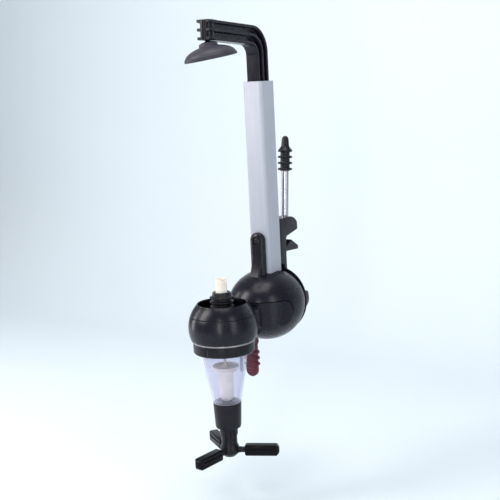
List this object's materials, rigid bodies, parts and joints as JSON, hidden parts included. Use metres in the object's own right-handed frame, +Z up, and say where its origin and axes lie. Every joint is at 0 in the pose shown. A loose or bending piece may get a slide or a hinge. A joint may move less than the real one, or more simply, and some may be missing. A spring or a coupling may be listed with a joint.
{
  "type": "wall-mounted bottle dispenser",
  "caption": "Wall-held dispenser that clamps one upturned bottle under a sprung arm and gives a measure through a valve when its finger spider is pushed up.",
  "frame": {"origin": "middle of the flat rear face of the boss that meets the wall", "axes": "+Y into the wall, +Z up along the column, the bottle stands at -Y"},
  "size_m": [0.0781, 0.1634, 0.3778],
  "materials": {
    "gloss_black_plastic": "gloss",
    "satin_black_plastic": "satin",
    "black_rubber": "matte",
    "grey_black_rubber": "satin",
    "satin_aluminium": "satin anodised",
    "steel": "bright",
    "blackened_steel": "satin black",
    "chrome": "polished",
    "cream_plastic": "satin",
    "clear_plastic": "clear gloss",
    "grey_translucent_plastic": "gloss",
    "silver_trim": "polished",
    "dark_red_plastic": "satin"
  },
  "bodies": {
    "stand": {"column_tube": "satin_aluminium", "guide_pad_left": "satin_black_plastic", "guide_pad_right": "satin_black_plastic", "front_casing": "gloss_black_plastic", "rear_casing": "gloss_black_plastic", "inner_chassis": "satin_black_plastic", "casing_screw_left": "steel", "casing_screw_right": "steel", "tongue_screw": "blackened_steel", "spring_pin": "steel", "carrier_yoke": "gloss_black_plastic", "head_dome": "gloss_black_plastic", "trim_ring": "silver_trim", "lower_collar": "satin_black_plastic", "bottle_seat": "satin_black_plastic", "inlet_tube": "cream_plastic", "bottle_stopper": "black_rubber", "vent_tube": "grey_translucent_plastic", "measuring_chamber": "clear_plastic", "chamber_seal": "black_rubber", "outlet_seat": "black_rubber", "nozzle_sleeve": "satin_black_plastic", "spring_plate": "cream_plastic", "lever_pin": "blackened_steel", "lever_spring": "steel"},
    "arm": {"top_arm": "gloss_black_plastic", "slide_shoe": "satin_black_plastic", "arm_spring": "steel"},
    "cup_swivel": {"cup_stud": "blackened_steel", "stud_clip": "steel"},
    "cup": {"bottle_cup": "grey_black_rubber"},
    "valve": {"push_spider": "satin_black_plastic", "finger_grip_1": "black_rubber", "finger_grip_2": "black_rubber", "finger_grip_3": "black_rubber", "valve_spindle": "steel", "float_piston": "cream_plastic", "inlet_seal": "black_rubber", "valve_spring": "steel"},
    "lever": {"release_lever": "dark_red_plastic"},
    "pourer": {"pourer_tube": "chrome", "pourer_grip": "black_rubber"}
  },
  "joints": [
    {"name": "arm_slide", "type": "slide", "parent": "stand", "child": "arm", "axis": [0, 0, 1], "range_m": [0, 0.1], "stiffness_N_per_m": 60, "springref_m": -0.05, "deforming": ["arm_spring"]},
    {"name": "cup_turn", "type": "hinge", "parent": "arm", "child": "cup_swivel", "pos_m": [0, -0.1194, 0.2395], "axis": [0, 0, 1], "continuous": true},
    {"name": "cup_tilt", "type": "hinge", "parent": "cup_swivel", "child": "cup", "pos_m": [0, -0.1194, 0.2395], "axis": [0.5736, -0.8192, 0], "range_deg": [-18, 0]},
    {"name": "valve_push", "type": "slide", "parent": "stand", "child": "valve", "axis": [0, 0, 1], "range_m": [0, 0.008], "stiffness_N_per_m": 400, "springref_m": -0.005, "deforming": ["valve_spring"]},
    {"name": "lever_pivot", "type": "hinge", "parent": "stand", "child": "lever", "pos_m": [0, -0.0785, -0.023], "axis": [1, 0, 0], "range_deg": [0, 25], "stiffness_Nm_per_rad": 0.02, "springref_deg": -17.19},
    {"name": "pourer_lift", "type": "slide", "parent": "stand", "child": "pourer", "axis": [0, 0.0906, 0.9959], "range_m": [0, 0.016]}
  ]
}
